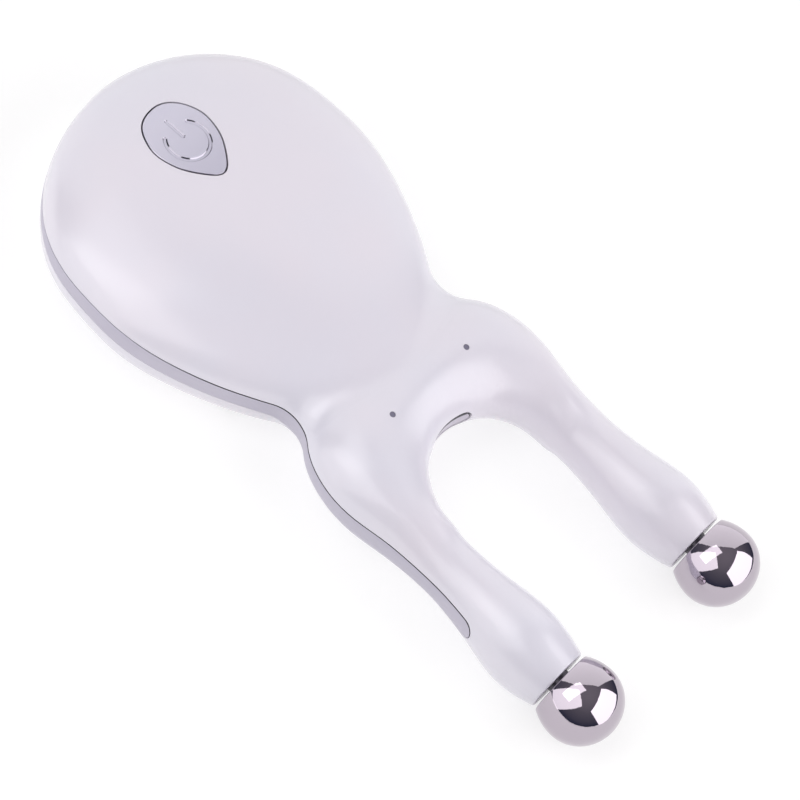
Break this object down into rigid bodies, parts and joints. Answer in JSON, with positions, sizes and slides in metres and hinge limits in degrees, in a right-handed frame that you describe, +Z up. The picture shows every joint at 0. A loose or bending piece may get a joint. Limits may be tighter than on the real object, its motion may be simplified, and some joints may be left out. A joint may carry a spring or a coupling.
{
  "type": "facial toning device",
  "caption": "Hand-held facial toning device with an egg-shaped grip, power button and a two-legged fork ending in rotating chrome ball rollers.",
  "frame": {"origin": "centre of the footprint, on the surface the device lies on", "axes": "+Z up out of the button side, +Y along the device towards the grip end, rollers towards -Y, +X across"},
  "size_m": [0.078, 0.1689, 0.0259],
  "materials": {
    "shell_white": "pearl white, semi-gloss",
    "satin_silver": "satin silver-lavender paint",
    "button_silver": "satin silver-lavender paint",
    "chrome": "mirror plating",
    "axle_steel": "turned, dark",
    "bush_acetal": "plain acetal",
    "clip_steel": "spring steel",
    "screw_steel": "zinc plated",
    "contact_nickel": "nickel plated",
    "tray_plastic": "plain black",
    "seat_plastic": "plain white",
    "cell_sleeve": "plain printed film, no marking",
    "board_green": "solder mask",
    "component_black": "moulded",
    "coil_copper": "enamelled winding",
    "capacitor_sleeve": "can with dark sleeve",
    "led_body": "clear resin",
    "light_pipe": "smoked clear",
    "wire_red": "insulated wire"
  },
  "bodies": {
    "housing": {"top_housing": "shell_white", "bottom_cover": "shell_white", "side_band": "satin_silver", "crotch_trim": "satin_silver", "roller_axle_left": "axle_steel", "roller_axle_right": "axle_steel", "retaining_clip_left": "clip_steel", "retaining_clip_right": "clip_steel", "axle_seat_left": "seat_plastic", "axle_seat_right": "seat_plastic", "lead_terminal_left": "contact_nickel", "lead_terminal_right": "contact_nickel", "lead_wire_left": "wire_red", "lead_wire_right": "wire_red", "battery_tray": "tray_plastic", "battery_cell_left": "cell_sleeve", "battery_cell_right": "cell_sleeve", "contact_spring_front": "contact_nickel", "contact_spring_rear": "contact_nickel", "contact_plate_front_right": "contact_nickel", "contact_plate_front_left": "contact_nickel", "contact_plate_rear": "contact_nickel", "main_board": "board_green", "tact_switch": "component_black", "microcontroller": "component_black", "boost_transformer": "coil_copper", "storage_capacitor_left": "capacitor_sleeve", "storage_capacitor_right": "capacitor_sleeve", "led_left": "led_body", "led_right": "led_body", "light_pipe_left": "light_pipe", "light_pipe_right": "light_pipe", "housing_screw_1": "screw_steel", "housing_screw_2": "screw_steel", "housing_screw_3": "screw_steel", "housing_screw_4": "screw_steel", "housing_screw_5": "screw_steel", "housing_screw_6": "screw_steel", "board_screw_1": "screw_steel", "board_screw_2": "screw_steel", "board_screw_3": "screw_steel", "board_screw_4": "screw_steel", "tray_screw_left": "screw_steel", "tray_screw_right": "screw_steel"},
    "button": {"power_button": "button_silver", "switch_plunger": "component_black"},
    "roller_left": {"ball_roller_left": "chrome", "roller_bush_left": "bush_acetal"},
    "roller_right": {"ball_roller_right": "chrome", "roller_bush_right": "bush_acetal"},
    "door": {"battery_door": "shell_white"}
  },
  "joints": [
    {"name": "roller_spin_left", "type": "hinge", "parent": "housing", "child": "roller_left", "pos_m": [-0.0234, -0.0758, 0.0092], "axis": [0, 1, 0], "continuous": true},
    {"name": "roller_spin_right", "type": "hinge", "parent": "housing", "child": "roller_right", "pos_m": [0.0234, -0.0758, 0.0092], "axis": [0, 1, 0], "continuous": true},
    {"name": "button_press", "type": "slide", "parent": "housing", "child": "button", "axis": [0, 0, -1], "range_m": [0, 0.0005], "stiffness_N_per_m": 2500},
    {"name": "battery_door_slide", "type": "slide", "parent": "housing", "child": "door", "axis": [0, 1, 0], "range_m": [0, 0.058]}
  ]
}
